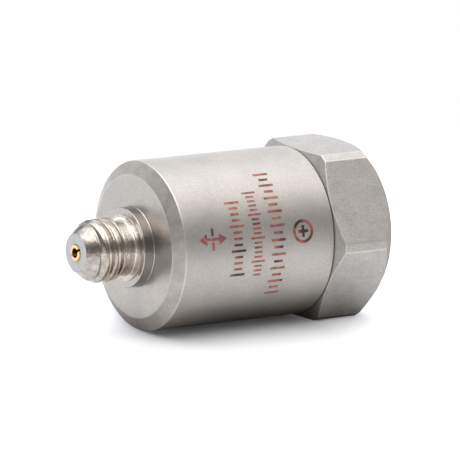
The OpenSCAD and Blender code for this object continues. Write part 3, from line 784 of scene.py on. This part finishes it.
def wrapFlat(name, outlines, mark):  # flat outlines (around, along) to one thin solid on the housing
    places, faces = {}, {}
    for outline in outlines:
        low, high = ([places.setdefault((round(around, 4), round(along, 4), side), len(places))
                      for around, along in outline] for side in (-0.5, 0.5))
        walls = [[low[i - 1], low[i], high[i], high[i - 1]] for i in range(len(outline))]
        for face in (low[::-1], high, *walls):
            if faces.pop(frozenset(face), None) is None:  # a wall that two outlines share goes
                faces[frozenset(face)] = face
    vertices = []
    for around, along, side in places:
        angle = math.radians(mark["degrees"]) + around / housing["radius"]
        radius = housing["radius"] + side * marks["thickness"]
        vertices.append(onPart(mark["height"] - along, radius, angle))
    finishPiece(newPiece(name, vertices, list(faces.values())), oxideMark)


def strip(fromAround, toAround, fromAlong, toAlong, count=1):  # outlines of equal blocks side by side
    cuts = [fromAround + (toAround - fromAround) * i / count for i in range(count + 1)]
    return [[(a, fromAlong), (b, fromAlong), (b, toAlong), (a, toAlong)] for a, b in zip(cuts, cuts[1:])]


def makeSymbols():
    arrow, ring = marks["arrow"], marks["ring"]
    tip, neck = arrow["length"] / 2, arrow["length"] / 2 - arrow["head"]
    stem, wing, bar = arrow["stem"] / 2, arrow["headWidth"] / 2, arrow["bar"] / 2
    arrowShapes = strip(-stem, stem, -neck, neck, 2)
    for end in (-1, 1):
        for block in strip(-wing, wing, neck, tip, arrow["headBlocks"]):
            a, b = block[0][0], block[1][0]
            slope = [(around, neck + (tip - neck) * (1 - abs(around) / wing)) for around in (b, a)]
            corners = [(a, neck), (b, neck)] + [point for point in slope if point[1] > neck + 0.0001]
            arrowShapes.append([(around, along * end) for around, along in corners])
    wrapFlat("axisArrow", arrowShapes, arrow)
    barFrom = stem + arrow["gap"]
    wrapFlat("axisBar", strip(-bar, -barFrom, -stem, stem, arrow["barBlocks"])
             + strip(barFrom, bar, -stem, stem, arrow["barBlocks"]), arrow)
    rays = [(math.cos(angle), math.sin(angle)) for angle in roundAngles(ring["count"])]
    outer, inner, line, cross = ring["radius"], ring["radius"] - ring["line"], ring["line"] / 2, ring["cross"]
    wrapFlat("centreRing", [[(ray[0] * radius, ray[1] * radius) for ray, radius in
                             ((start, outer), (end, outer), (end, inner), (start, inner))]
                            for start, end in zip(rays, rays[1:] + rays[:1])], ring)
    cuts = ((-cross, -line), (-line, line), (line, cross))
    blocks = ((0, 1), (1, 0), (1, 1), (1, 2), (2, 1))
    wrapFlat("centreCross", [strip(*cuts[i], *cuts[j])[0] for i, j in blocks], ring)


for number, row in enumerate(marks["rows"], 1):
    makeTicks("tickRow%d" % number, row)
makeSymbols()
print("marks made")


# the pieces inside keep their CAD meshes and take their finishes here
insideFinishes = {
    "hardGoldPlate": ["feedthrough_pin", "ground_lead"],
    "fusedSealingGlass": ["glass_seal"],
    "groundPiezoCeramic": ["crystal_plate_1", "crystal_plate_2", "crystal_plate_3"],
    "groundTungstenAlloy": ["seismic_mass_1", "seismic_mass_2", "seismic_mass_3"],
    "hardenedSpringSteel": ["preload_ring"],
    "mouldedAmberPolymer": ["insulating_sleeve"],
    "greenSolderMask": ["circuit_board"],
    "mouldedBlackEpoxy": ["amplifier_chip"],
    "overglazedResistor": ["bias_resistor", "gain_resistor"],
    "firedCapacitorCeramic": ["input_capacitor", "output_capacitor"],
    "tinnedCopper": ["signal_lead", "output_lead"],
}
for finish, nodeNames in insideFinishes.items():
    for nodeName in nodeNames:
        cadNodes[nodeName].data.materials.clear()
        cadNodes[nodeName].data.materials.append(made[finish])

# stage: a pale sweep of paper under a soft white sky, with a darker band where the room is open to the front
stage = {
    "floorSize": 0.1, "floorZ": -6.503, "paper": "#f2f3f6", "paperDark": "#edeef1", "fibreSize": 4,
    "roughness": 0.9, "shine": 0.1,
    # painted shade: the camera sees the paper a little darker, and the metal sees it much darker under the
    # part, which deepens the shade in its reflection of the floor; each ramp runs along (0) or across (1) the
    # part, from one place to another in mm
    "shadeSeen": 0.12, "shade": (0.7, (1, -8, -3.5), (1, 20, 12), (0, -24, -11.5), (0, 2.5, -2)),
    # painted light: to the camera the paper glows a little, and more past both ends of the part, lightening
    # the shadow there
    "glows": [(0.03,), (0.45, (0, -15.5, -19.5), (1, -2.5, 4)), (0.26, (0, -18.5, -22), (1, -7, -1)),
              (0.28, (0, -7, -1))],
}


def makeFloor():
    half, z = stage["floorSize"] / 2, stage["floorZ"] * mm
    corners = [(-half, -half, z), (half, -half, z), (half, half, z), (-half, half, z)]
    floor = newPiece("floor", corners, [(0, 1, 2, 3)])
    material, shader, add, place = newMaterial("mattPaper")
    fibres = add(noiseNode, inputs={"Vector": place, "Scale": 1 / (stage["fibreSize"] * mm)})
    colour = add(mixNode, fibres, inputs={
        6: linearColour(stage["paperDark"]), 7: linearColour(stage["paper"])}, **ofColour)
    split = add(splitNode, place, output=None)
    levels = []
    for level, *ramps in (stage["shade"], *stage["glows"]):
        for axis, start, end in ramps:
            level = add(mathNode, level, add(rampNode, split[axis], *metres((start, end)), **smooth), **times)
        levels.append(level)
    seen = add("ShaderNodeLightPath", output="Is Camera Ray")
    # painted shade: the metal sees the paper darkened under the part, the camera sees it only a little darker
    # all over
    under = add(mixNode, seen, inputs={2: levels[0], 3: stage["shadeSeen"]})
    shaded = add(vectorNode, colour, inputs={"Scale": add(mathNode, 1.0, under, **minus)}, operation="SCALE")
    glow = 0.0
    for level in levels[1:]:
        glow = add(mathNode, glow, level, **plus)
    # painted light: only the camera sees the glow
    glow = add(mathNode, glow, seen, **times)
    fillInputs(shader, {
        "Base Color": shaded, "Roughness": stage["roughness"], "Specular IOR Level": stage["shine"],
        "Emission Color": linearColour(stage["paper"]), "Emission Strength": glow})
    floor.data.materials.append(material)


makeFloor()

# light levels by how high a direction points (its sine), to the front, where the room is dark, and the back
sky = {
    "front": [(-1.0, 0.85), (-0.1, 0.95), (-0.03, 0.65), (0.05, 0.46), (0.15, 0.38), (0.26, 0.28),
              (0.43, 0.3), (0.56, 0.46), (0.66, 0.95), (0.76, 1.65), (0.88, 2.1), (1.0, 2.15)],
    "back": [(-1.0, 1.54), (-0.02, 1.54), (0.06, 1.38), (0.3, 1.42), (0.48, 1.03), (0.6, 1.05),
             (0.74, 1.75), (0.88, 2.1), (1.0, 2.15)],
    "top": 2.15, "frontTint": "#fffdfb", "backTint": "#f9fbff", "shown": 1.0,
    "backTowards": (0.2, 0.98, 0.0), "backFrom": -0.1, "backTo": 0.8, "moreToRight": 0.38, "lessToLeft": 0.08,
    # a lamp and a dark card: where they are, how near a direction has to point, and what share they add
    "patches": [((-0.38, -0.12, 0.917), 0.7, 0.97, 1.1 / 2.15), ((0.1, 0.93, 0.34), 0.92, 1.0, -0.72)],
}


def makeSky():
    world = bpy.data.worlds.new("sky")
    scene.world = world
    world.use_nodes = True
    add = partial(addNode, world.node_tree)
    direction = add("ShaderNodeTexCoord", output="Generated")
    x, y, z = add(splitNode, direction, output=None)
    height = add(mathNode, z, 0.5, 0.5, operation="MULTIPLY_ADD")
    sides = []
    for side in ("front", "back"):
        sides.append(add("ShaderNodeValToRGB", height))
        elements, tint = sides[-1].node.color_ramp.elements, linearColour(sky[side + "Tint"])[:3]
        for i, (sine, level) in enumerate(sky[side]):
            element = elements[i] if i < 2 else elements.new(sine / 2 + 0.5)
            element.position = sine / 2 + 0.5
            element.color = [part * level / sky["top"] for part in tint] + [1.0]
    # the cosine of the angle along the ground between a direction and the back
    squared = add(mathNode, 1.0, add(mathNode, z, z, **times), **minus)
    ground = add(mathNode, add(mathNode, squared, 0.001, operation="MAXIMUM"), operation="SQRT")
    towards = add(vectorNode, direction, sky["backTowards"], operation="DOT_PRODUCT", output="Value")
    share = add(rampNode, add(mathNode, towards, ground, **over), sky["backFrom"], sky["backTo"], **smooth)
    mixed = add(mixNode, share, inputs={6: sides[0], 7: sides[1]}, **ofColour)
    seen = add("ShaderNodeLightPath", output="Is Camera Ray")
    colour = add(mixNode, seen, inputs={6: mixed, 7: [sky["shown"] / sky["top"]] * 3 + [1.0]}, **ofColour)
    patches = [add(rampNode, add(vectorNode, direction, middle, operation="DOT_PRODUCT", output="Value"),
                   start, end, 0.0, most, **smooth) for middle, start, end, most in sky["patches"]]
    slopes = [add(mathNode, x, sky[slope], **times) for slope in ("moreToRight", "lessToLeft")]
    aside = add(mathNode, *slopes, operation="MAXIMUM")
    extra = add(mathNode, aside, add(mathNode, *patches, **plus), **plus)
    extra = add(mathNode, add(mathNode, 1.0, seen, **minus), extra, **times)
    strength = add(mathNode, add(mathNode, 1.0, extra, **plus), sky["top"], **times)
    fillInputs(world.node_tree.nodes["Background"], {"Color": colour, "Strength": strength})


makeSky()
print("stage made")
